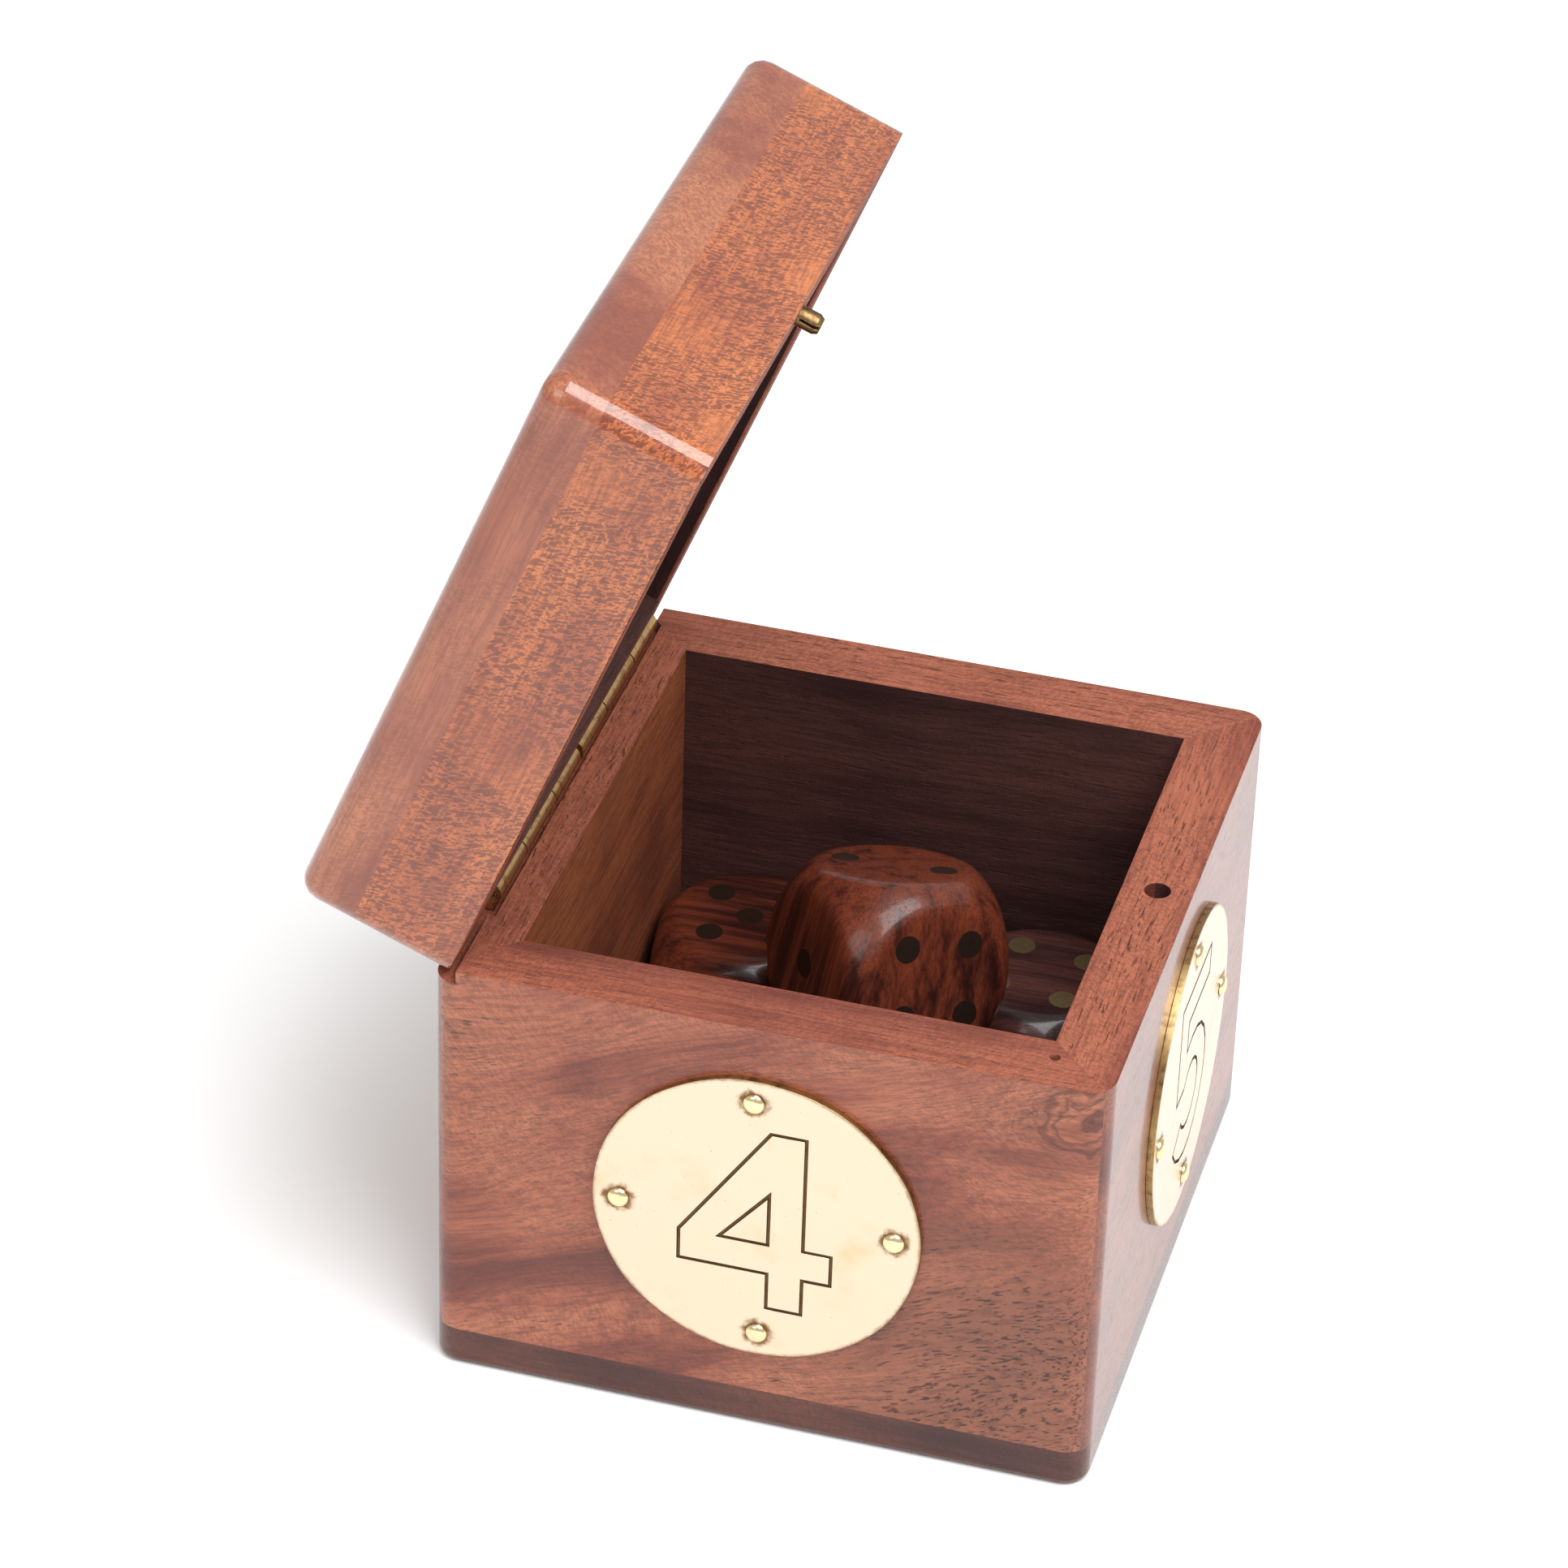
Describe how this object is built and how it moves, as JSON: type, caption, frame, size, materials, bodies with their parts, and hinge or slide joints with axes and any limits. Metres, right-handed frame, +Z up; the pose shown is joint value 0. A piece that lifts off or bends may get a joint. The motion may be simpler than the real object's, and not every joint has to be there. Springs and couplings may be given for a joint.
{
  "type": "dice box with hinged lid",
  "caption": "Small wooden box with mitred walls, a hinged hollow lid held shut by a split brass pin, round numbered brass plates on its sides and wooden dice inside.",
  "frame": {"origin": "middle of the box's bottom face", "axes": "+Z up out of the box's mouth, +X to the catch side, -X to the hinge side, +Y to the back; the lid stands open as in the picture"},
  "size_m": [0.0927, 0.081, 0.13],
  "materials": {
    "front_wood": "glossy lacquer over reddish-brown wood, bare on the rim and inside",
    "side_wood": "glossy lacquer over reddish-brown wood, bare on the rim and inside",
    "lid_wood": "glossy lacquer over mottled orange-brown wood",
    "board_wood": "satin lacquer over dark wood",
    "die_wood": "waxed dark wood",
    "plate_brass": "polished, finely scratched, brown at the nails and edge",
    "nail_brass": "tarnished",
    "hinge_brass": "dull, drawn",
    "pip_brass": "satin"
  },
  "bodies": {
    "box": {"base_board": "board_wood", "front_wall": "front_wood", "back_wall": "front_wood", "hinge_wall": "side_wood", "catch_wall": "side_wood", "plate_four": "plate_brass", "plate_five": "plate_brass", "plate_three": "plate_brass", "plate_two": "plate_brass", "nails_four": "nail_brass", "nails_five": "nail_brass", "nails_three": "nail_brass", "nails_two": "nail_brass", "near_hinge_box_leaf": "hinge_brass", "near_hinge_pin": "hinge_brass", "far_hinge_box_leaf": "hinge_brass", "far_hinge_pin": "hinge_brass", "box_leaf_brads": "nail_brass", "left_back_die": "die_wood", "right_back_die": "die_wood", "left_front_die": "die_wood", "right_front_die": "die_wood", "left_back_die_pips": "pip_brass", "right_back_die_pips": "pip_brass", "left_front_die_pips": "pip_brass", "right_front_die_pips": "pip_brass"},
    "lid": {"plate_one": "plate_brass", "nails_one": "nail_brass", "lid_top_board": "lid_wood", "lid_front_rail": "lid_wood", "lid_back_rail": "lid_wood", "lid_hinge_rail": "lid_wood", "lid_catch_rail": "lid_wood", "near_hinge_lid_leaf": "hinge_brass", "far_hinge_lid_leaf": "hinge_brass", "lid_leaf_brads": "nail_brass", "catch_pin": "hinge_brass"},
    "loose_die": {"top_die": "die_wood", "top_die_pips": "pip_brass"}
  },
  "joints": [
    {"name": "lid_hinge", "type": "hinge", "parent": "box", "child": "lid", "pos_m": [-0.036, 0, 0.0552], "axis": [0, -1, 0], "range_deg": [-68, 27]},
    {"name": "die_lift", "type": "slide", "parent": "box", "child": "loose_die", "axis": [0, 0, 1], "range_m": [0, 0.015]}
  ]
}
